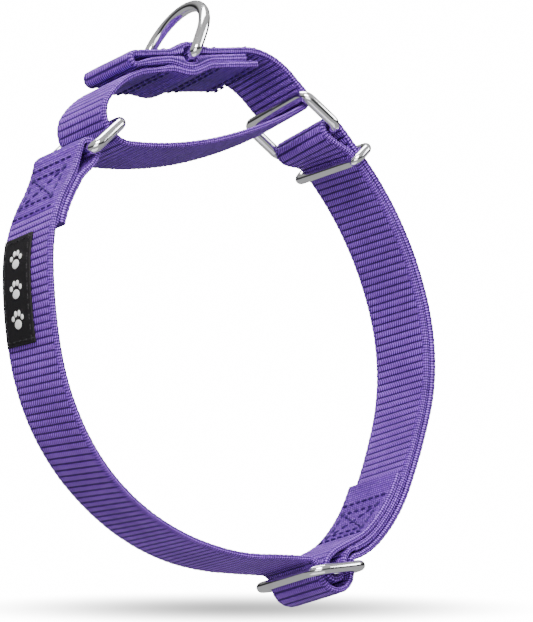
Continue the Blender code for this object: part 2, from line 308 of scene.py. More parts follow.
@dataclass(frozen=True)
class WebbingFinish(Finish):
    """Ribbed nylon webbing: ribs of slanted yarn with painted highlights, painted shade in the valleys
    and a dotted selvage.
    """

    name: str = "purple_webbing"
    rib_pitch: float = 2.12
    yarn_pitch: float = 0.95
    yarn_slant: float = 2.6
    braid_pitch: float = 1.7
    light: Colour = (0.46, 0.18, 1.0)
    middle: Colour = (0.115, 0.011, 0.39)
    dark: Colour = (0.026, 0.0034, 0.092)
    selvage: float = 11.0

    def paint(self, tree: Tree, shader: bpy.types.Node) -> None:
        """Colours the webbing by its distances along and across.

        Args:
            tree: the material's tree.
            shader: its main shader.
        """
        along, across, crisp, level = tree.marks("along", "across", "crisp", "level")
        place = tree.place()
        fuzz = tree.noise(place, 900.0, 3.0, 0.6)
        cloud = tree.noise(place, 70.0)
        wander = (fuzz - 0.5) * 0.5
        # painted light and shade: the rib crests are painted lit and the valleys between them dark,
        # over the raised ribs
        rib = (along * (math.pi / self.rib_pitch)).sine().size()
        lit_crest = (rib + wander * 0.4).ease(0.08, 0.62)
        turn = math.tau / self.yarn_pitch
        slant = along * (math.tau / self.yarn_slant)
        yarn = ((across * turn + slant).sine() + wander).ease(-0.3, 0.7)
        weave = lit_crest * (yarn * 0.8 + 0.2)
        slope = along * (math.tau / self.braid_pitch)
        wrap = (across.size() + level) * (math.tau / (0.9 * self.braid_pitch))
        braid = ((slope + wrap).sine() * (slope - wrap).sine() + wander * 1.6).ease(-0.35, 0.5)
        twill = ((slope * 1.3 + across * turn).sine() + wander * 1.4).ease(-0.8, 0.8)
        shown = weave * crisp + (braid * 0.7 + twill * 0.3) * (1.0 - crisp) * 0.9
        edge = across.size().ease(self.selvage - 0.4, self.selvage + 0.8)
        tone = shown * (1.0 - edge) + edge * braid * 0.85
        # dark for the painted valley shade, light for the yarn ticks on the crests, which are partly
        # the yarn's pattern and partly painted highlight
        body = tree.mix(tone.ease(0.02, 0.6), self.dark, self.middle)
        body = tree.mix(tone.ease(0.5, 1.0) * 0.9, body, self.light)
        body = tree.mix(cloud.ease(0.35, 0.7) * 0.22, body, self.dark)
        tree.feed(shader, Base_Color=body, Roughness=0.72 - tone * 0.22,
                  Normal=tree.bump(0.9, 0.0004, tone + fuzz * 0.35), Sheen_Weight=0.04,
                  Sheen_Roughness=0.4, Sheen_Tint=(0.75, 0.65, 1.0, 1.0), Specular_IOR_Level=0.28)


@dataclass(frozen=True)
class ThreadFinish(Finish):
    """Twisted sewing thread."""

    name: str = "dark_thread"
    colour: Colour = (0.026, 0.008, 0.085)
    shine: Colour = (0.055, 0.018, 0.17)

    def paint(self, tree: Tree, shader: bpy.types.Node) -> None:
        """Colours the thread with fine slanted strands.

        Args:
            tree: the material's tree.
            shader: its main shader.
        """
        place = tree.place()
        wave = tree.value(tree.add("ShaderNodeTexWave", {"bands_direction": "DIAGONAL"}, {
            "Vector": place, "Scale": 520.0, "Distortion": 2.5, "Detail": 1.0}), "Fac")
        fuzz = tree.noise(place, 1500.0)
        tree.feed(shader, Base_Color=tree.mix(wave * 0.6, self.colour, self.shine),
                  Roughness=0.5 + fuzz * 0.2, Normal=tree.bump(0.5, 0.0001, wave + fuzz * 0.4),
                  Specular_IOR_Level=0.2)


@dataclass(frozen=True)
class ChromeFinish(Finish):
    """Bright nickel-chrome plating with faint drawing marks."""

    name: str = "bright_chrome"
    bright: Colour = (0.86, 0.86, 0.87)
    dull: Colour = (0.66, 0.66, 0.68)

    def paint(self, tree: Tree, shader: bpy.types.Node) -> None:
        """Gives the plating its faint marks and waviness.

        Args:
            tree: the material's tree.
            shader: its main shader.
        """
        place = tree.place()
        broad = tree.noise(place, 140.0)
        fine = tree.noise(place, 2600.0)
        worn = broad.ease(0.45, 0.8) * 0.4
        tree.feed(shader, Base_Color=tree.mix(worn, self.bright, self.dull),
                  Roughness=0.06 + fine * 0.08 + broad * 0.04, Metallic=1.0,
                  Normal=tree.bump(0.12, 0.0002, broad + fine * 0.04))


@dataclass(frozen=True)
class LabelFinish(Finish):
    """Black damask label: fine diagonal weave with a soft shine."""

    name: str = "black_label"
    dark: Colour = (0.0025, 0.0022, 0.0028)
    light: Colour = (0.012, 0.011, 0.013)
    twill_pitch: float = 0.5

    def paint(self, tree: Tree, shader: bpy.types.Node) -> None:
        """Colours the weave by its distances along and across.

        Args:
            tree: the material's tree.
            shader: its main shader.
        """
        along, across = tree.marks("along", "across")
        fuzz = tree.noise(tree.place(), 1600.0)
        twill = ((along + across) * (math.tau / self.twill_pitch)).sine().ease(-0.6, 0.8)
        tree.feed(shader, Base_Color=tree.mix(twill * 0.7 + fuzz * 0.3, self.dark, self.light),
                  Roughness=0.5 + fuzz * 0.2, Normal=tree.bump(0.4, 0.0001, twill + fuzz * 0.5),
                  Specular_IOR_Level=0.2)


@dataclass(frozen=True)
class MotifFinish(Finish):
    """Off-white embroidery."""

    name: str = "white_embroidery"
    white: Colour = (0.82, 0.82, 0.82)
    grey: Colour = (0.5, 0.5, 0.52)

    def paint(self, tree: Tree, shader: bpy.types.Node) -> None:
        """Gives the embroidery its satin strands.

        Args:
            tree: the material's tree.
            shader: its main shader.
        """
        wave = tree.value(tree.add("ShaderNodeTexWave", {"bands_direction": "Z"}, {
            "Vector": tree.place(), "Scale": 900.0, "Distortion": 1.5}), "Fac")
        tree.feed(shader, Base_Color=tree.mix(wave * 0.5, self.white, self.grey),
                  Roughness=0.6 + wave * 0.1, Normal=tree.bump(0.4, 0.0001, wave))


@dataclass(frozen=True)
class PaperFinish(Finish):
    """Glowing white of the studio's room, with a painted soft shadow on the floor under the collar.

    The painted shadow is an oval turned to azimuth, in degrees. Its middle and its reach are in
    metres.
    """

    name: str = "studio_white"
    azimuth: float = -38.0
    shade: float = 0.05
    middle: tuple[float, float] = (0.004, 0.024)
    reach: tuple[float, float] = (0.1, 0.066)
    glow: float = 16.0

    def paint(self, tree: Tree, shader: bpy.types.Node) -> None:
        """Paints the soft shadow: dims an oval of the floor's glow.

        Args:
            tree: the material's tree.
            shader: its main shader.
        """
        parts = tree.add("ShaderNodeSeparateXYZ", {}, {"Vector": tree.place()})
        x, y = tree.value(parts, "X"), tree.value(parts, "Y")
        # painted shadow: the floor's glow is dimmed in a soft oval under the collar, fading out above
        # the floor
        turn = math.radians(self.azimuth)
        u = (x * math.cos(turn) + y * math.sin(turn) - self.middle[0]) / self.reach[0]
        v = (y * math.cos(turn) - x * math.sin(turn) - self.middle[1]) / self.reach[1]
        low = 1.0 - tree.value(parts, "Z").ease(0.0, 0.2)
        shade = (1.0 - (u * u + v * v).maths("SQRT").ease(0.0, 1.0)) * low
        painted_shadow = (shade * math.log(self.shade)).maths("EXPONENT")
        white = tree.mix(painted_shadow, (0.0, 0.0, 0.0), (1.0, 1.0, 1.0))
        tree.feed(shader, Base_Color=(0.02, 0.02, 0.02, 1.0), Roughness=1.0,
                  Specular_IOR_Level=0.0, Emission_Color=white, Emission_Strength=self.glow)


# ------------------------------------------------------------------------------- layout

def across_at(tilt: float) -> Vector:
    """Direction from the webbing's far edge to its near edge."""
    return Vector((0.0, -math.cos(tilt), math.sin(tilt)))


def smooth(t: float) -> float:
    """Ease from 0 to 1."""
    t = min(max(t, 0.0), 1.0)
    return t * t * (3.0 - 2.0 * t)


def spaced(first: float, last: float, step: float) -> list[float]:
    """Evenly spaced distances from first to last, both included."""
    count = max(1, round(abs(last - first) / step))
    return [first + (last - first) * i / count for i in range(count + 1)]


def in_plane(anchor: Vector, tilt: float, x: float, z: float) -> Vector:
    """Point at x, z in the plane through anchor that the across direction is square to."""
    return Vector((x, anchor.y + math.tan(tilt) * (z - anchor.z), z))


def to_world(point: Vector) -> Vector:
    """A drawn point, in millimetres, as it stands, in metres."""
    return LEAN_BACK @ point * MM + DRAWING_ORIGIN


def round_bar(centre: Vector, side: Vector, start: Vector, radius: float, turn: float,
              step: float) -> list[Section]:
    """Sections round a bar.

    Args:
        centre: the bar's middle.
        side: the across direction.
        start: unit direction from the bar to the first section.
        radius: from the bar's middle to the webbing's middle.
        turn: in degrees.
        step: spacing of the sections.

    Returns:
        The sections, both ends included.
    """
    third = side.cross(start)
    count = max(6, round(radius * abs(math.radians(turn)) / step))
    found = []
    for i in range(count + 1):
        angle = math.radians(turn) * i / count
        found.append((centre + (start * math.cos(angle) + third * math.sin(angle)) * radius, side))
    return found


class Chain:
    """A run of straight and circular stretches in the x-z plane."""

    def __init__(self, start: tuple[float, float], heading: float,
                 stretches: Sequence[tuple[float, float]]) -> None:
        """Joins stretches into a chain.

        Args:
            start: x and z of its first point.
            heading: the first direction, in degrees from +x.
            stretches: the length and the turn, in degrees, of each.
        """
        self.knots: list[tuple[float, float, float, float, float, float]] = []
        x, z = start
        angle = math.radians(heading)
        reach = 0.0
        for length, turn in stretches:
            bend = math.radians(turn) / length
            self.knots.append((reach, length, x, z, angle, bend))
            x, z, angle = self.advance(x, z, angle, bend, length)
            reach += length
        self.length = reach

    @staticmethod
    def advance(x: float, z: float, angle: float, bend: float,
                run: float) -> tuple[float, float, float]:
        """Goes along a stretch of constant bend.

        Args:
            x: where the stretch starts.
            z: where the stretch starts.
            angle: its first heading.
            bend: turn for each millimetre.
            run: how far along.

        Returns:
            x, z and heading there.
        """
        half = 0.5 * bend * run
        chord = run * (math.sin(half) / half if abs(half) > 1e-9 else 1.0)
        x += chord * math.cos(angle + half)
        z += chord * math.sin(angle + half)
        return x, z, angle + bend * run

    def at(self, s: float) -> tuple[float, float, float]:
        """Follows the chain.

        Args:
            s: the distance.

        Returns:
            x, z and heading there.
        """
        knot = [k for k in self.knots if k[0] <= s + 1e-9 or k[0] == 0.0][-1]
        reach, _, x, z, angle, bend = knot
        return self.advance(x, z, angle, bend, s - reach)


@dataclass
class WebSize:
    """The webbing: its section, the spacing of its sections, and the gap under what lies on it.

    The strip is drawn narrower and thinner by its trims, which its raised yarn fills.
    """

    width: float = 25.4
    thick: float = 2.0
    step: float = 0.4
    gap: float = 0.3
    width_trim: float = 0.3
    thick_trim: float = 0.25
    columns: int = 13
    soft_edge: float = 0.8


@dataclass
class WireSize:
    """The bent wire parts."""

    ring: float = 3.6
    ring_long: float = 29.6
    ring_short: float = 14.4
    keeper: float = 3.0
    keeper_long: float = 29.2
    slider: float = 3.2
    slider_long: float = 30.4
    leash: float = 3.6
    leash_height: float = 22.0
    corner: float = 2.8
    leash_corner: float = 2.0
    slider_corner: float = 4.6
    keeper_corner: float = 2.6
    clearance: float = 0.3


@dataclass
class NeckPath:
    """The neck strap's outer ply, and where it folds.

    Stretches are lengths and turns in degrees, and tilts are distances along and degrees. A fill
    is how far a ply's padding swells towards the next one.
    """

    start: tuple[float, float] = (-72.0, 48.0)
    heading: float = -113.0
    stretches: tuple[tuple[float, float], ...] = (
        (13.0, -17.0), (26.0, 31.0), (27.0, 14.0), (40.0, 36.0), (61.0, 44.0), (25.0, -1.0),
        (21.0, 43.0), (20.0, 20.0), (25.0, 7.0), (19.0, 17.0), (20.0, 16.0), (61.0, 36.0))
    tilts: tuple[tuple[float, float], ...] = (
        (0, 2.0), (22, 2.0), (63, -3.0), (103, -6.0), (153, -1.0), (178, 1.0), (250, 1.0),
        (273, -1.0), (349, -1.0), (358, 6.0))
    first_depth: float = -2.8
    back_ply: float = 26.5
    left_spacing: float = 2.9
    right_spacing: float = 2.5
    run_out: float = 10.0
    left_fill: float = 0.58
    right_fill: float = 0.25
    end_fill: float = 0.27

    def __post_init__(self) -> None:
        """Lays out the chain and its depth."""
        self.chain = Chain(self.start, self.heading, self.stretches)
        self.length = self.chain.length
        self.depths = [self.first_depth]
        for i in range(int(self.length) + 2):
            heading = self.chain.at(i + 0.5)[2]
            self.depths.append(self.depths[-1] + math.tan(self.tilt(i + 0.5)) * math.sin(heading))

    def tilt(self, s: float) -> float:
        """Tilt of the webbing about the x axis.

        Args:
            s: the distance along.

        Returns:
            The tilt.
        """
        for (s0, t0), (s1, t1) in zip(self.tilts, self.tilts[1:]):
            if s <= s1:
                return math.radians(t0 + (t1 - t0) * smooth((s - s0) / (s1 - s0)))
        return math.radians(self.tilts[-1][1])

    def depth(self, s: float) -> float:
        """y of the strap's middle."""
        i = min(max(int(s), 0), len(self.depths) - 2)
        return self.depths[i] + (self.depths[i + 1] - self.depths[i]) * (s - i)

    def section(self, s: float, inward: float = 0.0) -> Section:
        """Cuts the strap.

        Args:
            s: the distance along.
            inward: how far towards the neck opening.

        Returns:
            Centre and across direction.
        """
        x, z, heading = self.chain.at(s)
        tilt = self.tilt(s)
        run = Vector((math.cos(heading), math.tan(tilt) * math.sin(heading), math.sin(heading)))
        side = across_at(tilt)
        centre = Vector((x, self.depth(s), z))
        return centre + side.cross(run.normalized()) * inward, side

    def place(self, s: float, a: float, inward: float) -> Vector:
        """Point at s along, a across and inward from the outer ply's middle."""
        centre, side = self.section(s, inward)
        return centre + side * a


@dataclass
class Slider:
    """The slider's bars and the strap round them."""

    left: tuple[float, float] = (-6.4, -82.3)
    right: tuple[float, float] = (13.1, -81.4)
    on: float = 183.5
    off: float = 202.5
    dip: float = 6.4
    wrap: float = 3.0
    end_spacing: float = 2.3
    end_from: float = 209.0
    end_reach: float = 236.5


class Layout:
    """Where every bar lies, and the plies' sections."""

    def __init__(self, web: WebSize, wire: WireSize) -> None:
        """Places the bars that the plies fold round.

        Args:
            web: the webbing's sizes.
            wire: the wires' sizes.
        """
        self.web, self.wire = web, wire
        self.neck = NeckPath()
        self.slider = Slider()
        neck, slider = self.neck, self.slider
        self.fold = 0.5 * wire.ring + wire.clearance + 0.5 * web.thick
        left_edge, self.left_side = neck.section(0.0)
        self.left_bar = neck.section(0.0, self.fold)[0]
        self.left_inward = (self.left_bar - left_edge).normalized()
        right_edge, self.right_side = neck.section(neck.length)
        self.right_bar = neck.section(neck.length, self.fold)[0]
        self.right_inward = (self.right_bar - right_edge).normalized()
        self.left_tilt = neck.tilt(0.0)
        self.right_tilt = neck.tilt(neck.length)
        self.left_free = self.swung(self.left_bar, self.left_tilt, 34.0)
        self.right_free = self.swung(self.right_bar, self.right_tilt, 135.0)
        self.slider_tilt = neck.tilt(slider.on)
        anchor = neck.section(slider.on)[0]
        self.slider_left = in_plane(anchor, self.slider_tilt, *slider.left)
        self.slider_right = in_plane(anchor, self.slider_tilt, *slider.right)
        self.slider_middle = (self.slider_left + self.slider_right) * 0.5
        self.slider_side = across_at(self.slider_tilt)

    def swung(self, bar: Vector, tilt: float, degrees: float) -> Vector:
        """Places a side ring's free bar.

        Args:
            bar: the bar that the neck strap holds.
            tilt: the ring's tilt.
            degrees: direction of its short side, from +x.

        Returns:
            The free bar's middle.
        """
        out = math.radians(degrees)
        reach = self.wire.ring_short
        return in_plane(bar, tilt, bar.x + reach * math.cos(out), bar.z + reach * math.sin(out))

    def doubled(self, s: float) -> float:
        """How closely the right side's plies lie: 0 at their folds and 1 between them."""
        return smooth((self.neck.length - 4.0 - s) / 6.0) * smooth((s - self.slider.off) / 6.0)

    def spacing(self, run: float, closed: float) -> float:
        """Distance between two plies at a run from their fold, where they lie closed apart beyond."""
        parted = smooth((self.neck.run_out - run) / self.neck.run_out)
        return closed + (2.0 * self.fold - closed) * parted

    def neck_strip(self) -> Strip:
        """Lays the neck strap out, from its left sewn end to its end at the slider.

        Returns:
            Its sections and looks.
        """
        neck, slider, step = self.neck, self.slider, self.web.step
        strip = Strip()
        for s in spaced(neck.back_ply, 0.0, step):
            fill = neck.left_fill * smooth((s - 4.0) / 6.0)
            strip.add([neck.section(s, self.spacing(s, neck.left_spacing))], (0.2, 0.0, fill))
        strip.add(round_bar(self.left_bar, self.left_side, self.left_inward, self.fold, 180, step)[1:],
                  (0.3, 0.0, 0.0))
        for s in spaced(0.0, slider.on, step)[1:]:
            sewn = smooth((neck.back_ply - 2.0 - s) / 5.0)
            fill = neck.left_fill * smooth((s - 4.0) / 6.0) * smooth((neck.back_ply + 2.0 - s) / 2.0)
            strip.add([neck.section(s)], (1.0 - 0.75 * sewn, 0.0, fill))
        strip.add(self.dip_sections(), (0.9, 0.0, 0.0))
        for s in spaced(slider.off, neck.length, step)[1:]:
            strip.add([neck.section(s)], (1.0, 0.0, neck.right_fill * self.doubled(s)))
        strip.add(round_bar(self.right_bar, self.right_side, -self.right_inward, self.fold, 180,
                            step)[1:], (1.0, 0.0, 0.0))
        for s in spaced(neck.length, slider.off, step)[1:]:
            sewn = smooth((slider.end_reach - s) / 3.0)
            strip.add([neck.section(s, self.spacing(neck.length - s, neck.right_spacing))],
                      (1.0, neck.end_fill * sewn, neck.right_fill * self.doubled(s)))
        strip.add(*self.end_sections())
        return strip

    def dip_sections(self) -> list[Section]:
        """Lays the strap over the slider's left bar, under its middle one and over its right one.

        Returns:
            The sections.
        """
        slider, step, side = self.slider, self.web.step, self.slider_side
        on = self.neck.section(slider.on)[0] - self.slider_left
        off = self.neck.section(slider.off)[0] - self.slider_right
        left_reach = self.slider_left.x + on.length
        right_reach = self.slider_right.x - off.length
        half = 0.5 * (right_reach - left_reach)
        bottom = in_plane(self.slider_middle, self.slider_tilt, 0.5 * (left_reach + right_reach),
                          self.slider_middle.z - slider.dip + half)
        on_turn = -math.degrees(math.atan2(on.z, on.x))
        off_turn = 180 - math.degrees(math.atan2(off.z, off.x))
        found = round_bar(self.slider_left, side, on.normalized(), on.length, on_turn, step)[1:]
        found += round_bar(bottom, side, Vector((-1, 0, 0)), half, 180, step)[1:-1]
        arc = round_bar(self.slider_right, side, off.normalized(), off.length, off_turn, step)
        return found + arc[::-1]

    def end_sections(self) -> tuple[list[Section], list[Look]]:
        """Lays the strap's end down between the slider's bars, round the middle one and back up.

        Returns:
            The sections, and a look for each.
        """
        slider, step, side = self.slider, self.web.step, self.slider_side
        spacing = self.neck.right_spacing + slider.end_spacing
        off = self.neck.section(slider.off)[0] - self.slider_right
        turn = 166 - math.degrees(math.atan2(off.z, off.x))
        outer = off.length + self.neck.right_spacing
        found = round_bar(self.slider_right, side, off.normalized(), outer, turn, step)[1:]
        wrap = round_bar(self.slider_middle, side, Vector((1, 0, 0)), slider.wrap, -180, step)
        found += self.joined(found[-1][0], wrap[0][0], side) + wrap
        joined = self.neck.section(slider.end_from, spacing)[0]
        ahead = self.neck.section(slider.end_from + 1.0, spacing)[0] - joined
        up = Vector((0.0, math.tan(self.slider_tilt), 1.0))
        leave = found[-1][0]
        curve = interpolate_bezier(leave, leave + up * 6.5, joined - ahead * 8.0, joined, 40)
        found += [(point, side) for point in curve[1:]]
        looks = [(0.85, 0.0, 0.0)] * len(found)
        for s in spaced(slider.end_from, slider.end_reach, step)[1:]:
            found.append(self.neck.section(s, spacing))
            sewn = smooth((s - slider.end_from) / 5.0)
            looks.append((0.85 - 0.7 * sewn, self.neck.end_fill * sewn, 0.0))
        return found, looks

    def joined(self, first: Vector, last: Vector, side: Vector) -> list[Section]:
        """Sections strictly between two points."""
        count = max(2, round((last - first).length / self.web.step))
        return [(first.lerp(last, i / count), side) for i in range(1, count)]


@dataclass
class LoopPath:
    """The control loop's webbing, hung on the right ring's free bar."""

    layout: Layout
    heading: float = 181.0
    stretches: tuple[tuple[float, float], ...] = (
        (44.5, 4.5), (19.4, 39.5), (19.0, 129.0), (12.8, 6.0), (26.6, 11.0), (34.0, 10.5),
        (6.2, 105.0), (5.7, 0.0), (20.7, 55.5), (44.0, 0.0), (6.1, 190.0), (13.0, -10.0),
        (31.0, 0.0))
    bend: int = 6
    dip: float = 1.95
    bump: float = 2.15
    bump_reach: float = 9.0
    leash_bar: tuple[float, float] = (-24.0, 76.4)

    def __post_init__(self) -> None:
        """Moves the chain so that its bend is centred on the ring's bar."""
        _, _, x, z, angle, bend = Chain((0.0, 0.0), self.heading, self.stretches).knots[self.bend]
        hook = self.layout.right_free
        start = (hook.x - x + math.sin(angle) / bend, hook.z - z - math.cos(angle) / bend)
        self.chain = Chain(start, self.heading, self.stretches)
        self.length = self.chain.length
        self.under_to = self.chain.knots[1][0]
        self.top_from = self.chain.knots[self.bend + 2][0]
        self.top_to = self.chain.knots[self.bend + 4][0]

    def flat(self, x: float, z: float) -> Section:
        """Stands a drawn point in the loop's surface.

        Args:
            x: to the right.
            z: up.

        Returns:
            The point and the across direction.
        """
        layout = self.layout
        left, right = layout.left_free, layout.right_free
        t = min(max((x - left.x) / (right.x - left.x), 0.0), 1.0)
        tilt = layout.left_tilt + (layout.right_tilt - layout.left_tilt) * t
        return in_plane(left.lerp(right, t), tilt, x, z), across_at(tilt)

    def section(self, s: float, inward: float = 0.0) -> Section:
        """Cuts the loop, whose plies give way round the leash ring's bar.

        Args:
            s: the distance along.
            inward: how far towards the inside of the loop's turns.

        Returns:
            Centre and across direction.
        """
        x, z, heading = self.chain.at(s)
        over = smooth(1.0 - abs(x - self.leash_bar[0]) / self.bump_reach)
        if s < self.under_to:
            z -= 0.9 * self.dip * over
        elif self.top_from < s < self.top_to:
            z += self.bump * over
        elif s > self.top_to:
            z -= self.dip * over
        centre, side = self.flat(x, z)
        run = self.flat(x + math.cos(heading), z + math.sin(heading))[0] - centre
        return centre + side.cross(run).normalized() * inward, side

    def place(self, s: float, a: float, inward: float) -> Vector:
        """Point at s along, a across and inward from the webbing's middle."""
        centre, side = self.section(s, inward)
        return centre + side * a

    def at_x(self, x: float, first: float, last: float) -> float:
        """Distance along the loop, between first and last, at which it passes x."""
        return min(spaced(first, last, 0.1), key=lambda s: abs(self.chain.at(s)[0] - x))


# ------------------------------------------------------------------------------- mesh work

def shown(piece: bpy.types.Object) -> bpy.types.Object:
    """Links a new object to the scene and returns it."""
    bpy.context.scene.collection.objects.link(piece)
    return piece


def fixed(source: bpy.types.Object, name: str) -> bpy.types.Object:
    """Turns an object with live modifiers into a plain mesh, and removes it.

    Args:
        source: the object.
        name: the plain object's name.

    Returns:
        The plain object.
    """
    bpy.context.view_layer.update()
    graph = bpy.context.evaluated_depsgraph_get()
    mesh = bpy.data.meshes.new_from_object(source.evaluated_get(graph), depsgraph=graph)
    mesh.name = name
    bpy.data.objects.remove(source, do_unlink=True)
    return shown(bpy.data.objects.new(name, mesh))


def meshed(bm: bmesh.types.BMesh, name: str, rounded: bool = True) -> bpy.types.Mesh:
    """Turns mesh work into a mesh.

    Args:
        bm: the finished mesh work, which is used up.
        name: the mesh's name.
        rounded: whether it is shaded smooth.

    Returns:
        The mesh.
    """
    mesh = bpy.data.meshes.new(name)
    bm.to_mesh(mesh)
    bm.free()
    if rounded:
        mesh.shade_smooth()
    return mesh


def add_nodes(piece: bpy.types.Object, tree: bpy.types.NodeTree, **inputs: object) -> None:
    """Adds a Geometry Nodes modifier and sets its inputs.

    Args:
        piece: what it works on.
        tree: the modifier's tree.
        inputs: its inputs' values; a name's underscores stand for spaces.
    """
    modifier = piece.modifiers.new(tree.name, "NODES")
    modifier.node_group = tree
    for item in tree.interface.items_tree:
        key = item.name.replace(" ", "_")
        if item.item_type == "SOCKET" and item.in_out == "INPUT" and key in inputs:
            modifier[item.identifier] = inputs[key]


class Strip:
    """Sections of a strap in order, each with its look."""

    def __init__(self) -> None:
        """Starts with none."""
        self.sections: list[Section] = []
        self.looks: list[Look] = []

    def add(self, sections: Sequence[Section], looks: Sequence[Look] | Look) -> None:
        """Adds sections with a look for each, or with one look for all."""
        self.sections += sections
        self.looks += looks if isinstance(looks, list) else [looks] * len(sections)


def strip_mesh(name: str, sections: Sequence[Section], profile: Sequence[tuple[float, float]],
               looks: Sequence[Look]) -> bpy.types.Mesh:
    """A closed strip through sections, with attributes for the weave to read.

    Args:
        name: the mesh's name.
        sections: centres and across directions, in drawn millimetres.
        profile: the strip's outline, as distances across and inward, once round.
        looks: how each section's ribs look and how far its faces are padded.

    Returns:
        The mesh, in metres, as it stands.
    """
    bm = bmesh.new()
    layers = {key: bm.verts.layers.float.new(key) for key in ("along", "across", "crisp", "level")}
    rings = []
    reach = 0.0
    last = len(sections) - 1
    half = max(level for _, level in profile)
    for i, ((centre, side), (crisp, outward_pad, inward_pad)) in enumerate(zip(sections, looks)):
        if i:
            reach += (centre - sections[i - 1][0]).length
        ahead = sections[min(i + 1, last)][0] - sections[max(i - 1, 0)][0]
        inward = side.cross(ahead).normalized()
        ring = []
        for a, level in profile:
            pad = outward_pad if level < 0.0 else inward_pad
            vert = bm.verts.new(to_world(centre + side * a + inward * level * (1.0 + pad / half)))
            vert[layers["along"]] = reach
            vert[layers["across"]] = a
            vert[layers["crisp"]] = crisp
            vert[layers["level"]] = level
            ring.append(vert)
        rings.append(ring)
    count = len(profile)
    for ring, following in zip(rings, rings[1:]):
        for j in range(count):
            k = (j + 1) % count
            bm.faces.new((ring[j], ring[k], following[k], following[j]))
    bm.faces.new(rings[0][::-1])
    bm.faces.new(rings[-1])
    if bm.calc_volume(signed=True) < 0.0:
        bmesh.ops.reverse_faces(bm, faces=bm.faces)
    return meshed(bm, name)


def flat_profile(width: float, thick: float, columns: int, soft: float) -> list[tuple[float, float]]:
    """Outline of a flat strip with rounded edges, once round.

    Args:
        width: across the strip.
        thick: through it.
        columns: points on each face.
        soft: how far the rounding reaches in from each edge.

    Returns:
        Distances across and inward.
    """
    flat = 0.5 * width - soft
    half = 0.5 * thick
    face = [(-flat + 2.0 * flat * i / (columns - 1), -half) for i in range(columns)]
    rim = [(flat + soft * math.sin(a), -half * math.cos(a))
           for a in (math.radians(d) for d in (35, 65, 90, 115, 145))]
    return face + rim + [(-a, -level) for a, level in face] + [(-a, -level) for a, level in rim]


class PieceTree:
    """A Geometry Nodes tree with named sizes, which ends in a plain mesh with its finish."""

    def __init__(self, name: str, **sizes: float) -> None:
        """Opens the tree.

        Args:
            name: the tree's name.
            sizes: its inputs and their usual values; a name's underscores stand for spaces.
        """
        self.tree = bpy.data.node_groups.new(name, "GeometryNodeTree")
        face = self.tree.interface
        face.new_socket("Geometry", in_out="INPUT", socket_type="NodeSocketGeometry")
        for size, usual in sizes.items():
            socket = face.new_socket(size.replace("_", " "), in_out="INPUT",
                                     socket_type="NodeSocketFloat")
            socket.default_value = usual
        face.new_socket("Finish", in_out="INPUT", socket_type="NodeSocketMaterial")
        face.new_socket("Geometry", in_out="OUTPUT", socket_type="NodeSocketGeometry")
        self.nodes = Tree(self.tree)
        self.start = self.nodes.add("NodeGroupInput")

    def step(self, kind: str, geometry: bpy.types.NodeSocket,
             **inputs: object) -> bpy.types.NodeSocket:
        """Sends geometry through a node and returns what comes out."""
        return self.nodes.add(kind, {}, {"Geometry": geometry, **inputs}).outputs["Geometry"]

    def close(self, geometry: bpy.types.NodeSocket) -> None:
        """Makes the geometry real, smooth and finished, and puts it out.

        Args:
            geometry: what was made.
        """
        whole = self.step("GeometryNodeRealizeInstances", geometry)
        soft = self.step("GeometryNodeSetShadeSmooth", whole)
        dressed = self.step("GeometryNodeSetMaterial", soft, Material=self.start.outputs["Finish"])
        self.nodes.add("NodeGroupOutput", {}, {"Geometry": dressed})


class Relief(PieceTree):
    """Geometry Nodes that raise the webbing's ribs and its edge loops."""

    def __init__(self) -> None:
        """Builds the tree once."""
        super().__init__("raised_ribs", Rib_Pitch=2.12, Rib_Height=0.3, Selvage=11.0, Edge_Height=0.1)
        tree, start = self.nodes, self.start
        along, across, crisp = (
            tree.value(tree.add("GeometryNodeInputNamedAttribute", {"data_type": "FLOAT"},
                                {"Name": name}), "Attribute")
            for name in ("along", "across", "crisp"))
        pitch, height, selvage, edge = (
            tree.value(start, name) for name in ("Rib Pitch", "Rib Height", "Selvage", "Edge Height"))
        rib = (along * math.pi / pitch).sine().size() ** 0.7
        inner = 1.0 - (across.size() - selvage).ease(-0.6, 0.6)
        loops = (along * math.pi / pitch * 2.0).sine() * 0.5 + 0.5
        uneven = tree.value(tree.add("ShaderNodeTexNoise", {}, {"Scale": 420.0, "Detail": 2.0}), "Fac")
        rise = (rib - 0.55) * height * crisp * inner + (loops - 0.6) * edge * (1.0 - inner)
        rise = rise + (uneven - 0.5) * 0.16
        normal = tree.add("GeometryNodeInputNormal").outputs["Normal"]
        offset = tree.add("ShaderNodeVectorMath", {"operation": "SCALE"},
                          {"Vector": normal, "Scale": rise * MM}).outputs["Vector"]
        self.close(self.step("GeometryNodeSetPosition", start.outputs["Geometry"], Offset=offset))


class StitchTree(PieceTree):
    """Geometry Nodes that lay single stitches along lines."""

    def __init__(self) -> None:
        """Builds the tree once."""
        super().__init__("laid_stitches", Spacing=0.0029, Length=0.0025, Thread=0.0008)
        tree, sizes = self.nodes, self.start.outputs
        points = tree.add("GeometryNodeCurveToPoints", {"mode": "LENGTH"}, {
            "Curve": sizes["Geometry"], "Length": sizes["Spacing"]}).outputs
        aligned = tree.add("FunctionNodeAlignRotationToVector", {"axis": "Z"}, {
            "Vector": points["Tangent"]})
        bead = tree.add("GeometryNodeMeshUVSphere", {}, {"Segments": 8, "Rings": 6, "Radius": 0.5})
        size = tree.add("ShaderNodeCombineXYZ", {}, {
            "X": sizes["Thread"], "Y": sizes["Thread"], "Z": sizes["Length"]})
        laid = tree.add("GeometryNodeInstanceOnPoints", {}, {
            "Points": points["Points"], "Instance": bead.outputs["Mesh"],
            "Rotation": aligned.outputs["Rotation"], "Scale": size.outputs["Vector"]})
        self.close(laid.outputs["Instances"])


